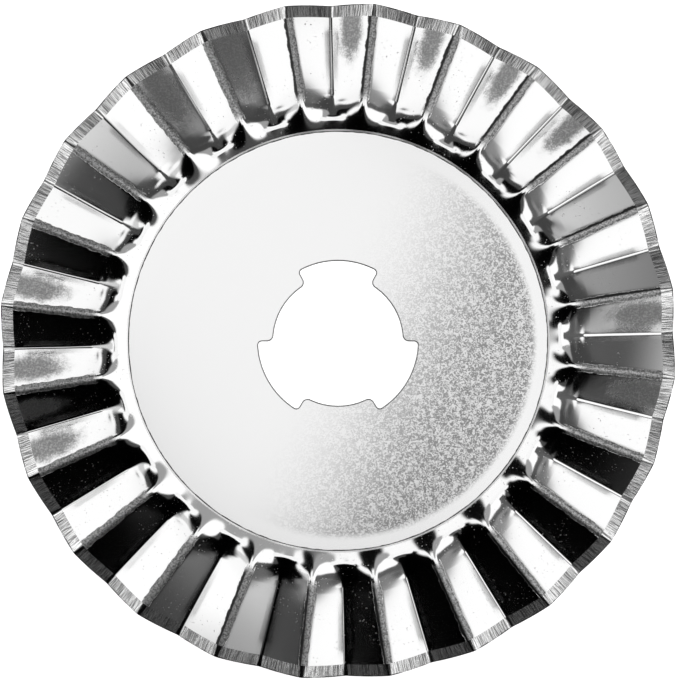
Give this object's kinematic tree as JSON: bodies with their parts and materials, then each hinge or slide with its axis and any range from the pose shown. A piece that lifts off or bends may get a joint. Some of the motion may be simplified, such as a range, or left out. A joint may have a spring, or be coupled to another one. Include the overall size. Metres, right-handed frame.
{
  "type": "rotary cutter blade",
  "caption": "Round pressed-steel cutting blade with radial zigzag flutes round its rim, a ground bevelled edge and a lobed hub hole in its flat centre.",
  "frame": {"origin": "on the blade's axis, in the middle of the sheet at the flat centre", "axes": "+Z along the axis, towards the side on which the flutes' wide ridges stand; +Y through the middle of one lobe of the hub hole"},
  "size_m": [0.045, 0.045, 0.0021],
  "materials": {
    "steel": "satin centre, polished flutes, ground bevel"
  },
  "bodies": {
    "root": {"blade": "steel"}
  },
  "joints": []
}
